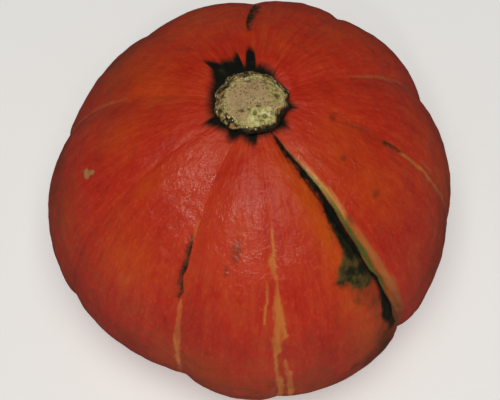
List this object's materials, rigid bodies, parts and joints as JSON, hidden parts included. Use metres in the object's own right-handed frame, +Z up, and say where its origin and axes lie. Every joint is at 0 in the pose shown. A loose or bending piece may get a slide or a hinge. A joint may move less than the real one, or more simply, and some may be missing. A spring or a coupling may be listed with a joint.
{
  "type": "kabocha squash",
  "caption": "Whole red-orange kabocha squash with soft ribs and a short corky stem cut across, standing on its flattened base.",
  "frame": {"origin": "middle of the fruit's footprint, on the plane that it stands on", "axes": "+Z up through the stem, -Y towards the side that the picture shows in front, +X to the right of it"},
  "size_m": [0.1802, 0.1826, 0.1516],
  "materials": {
    "rind": "waxy skin, satin, red-orange with dark green and pale orange streaks",
    "cork": "dry matt cork, tan with green and brown patches"
  },
  "bodies": {
    "root": {"fruit": "rind", "stem": "cork"}
  },
  "joints": []
}
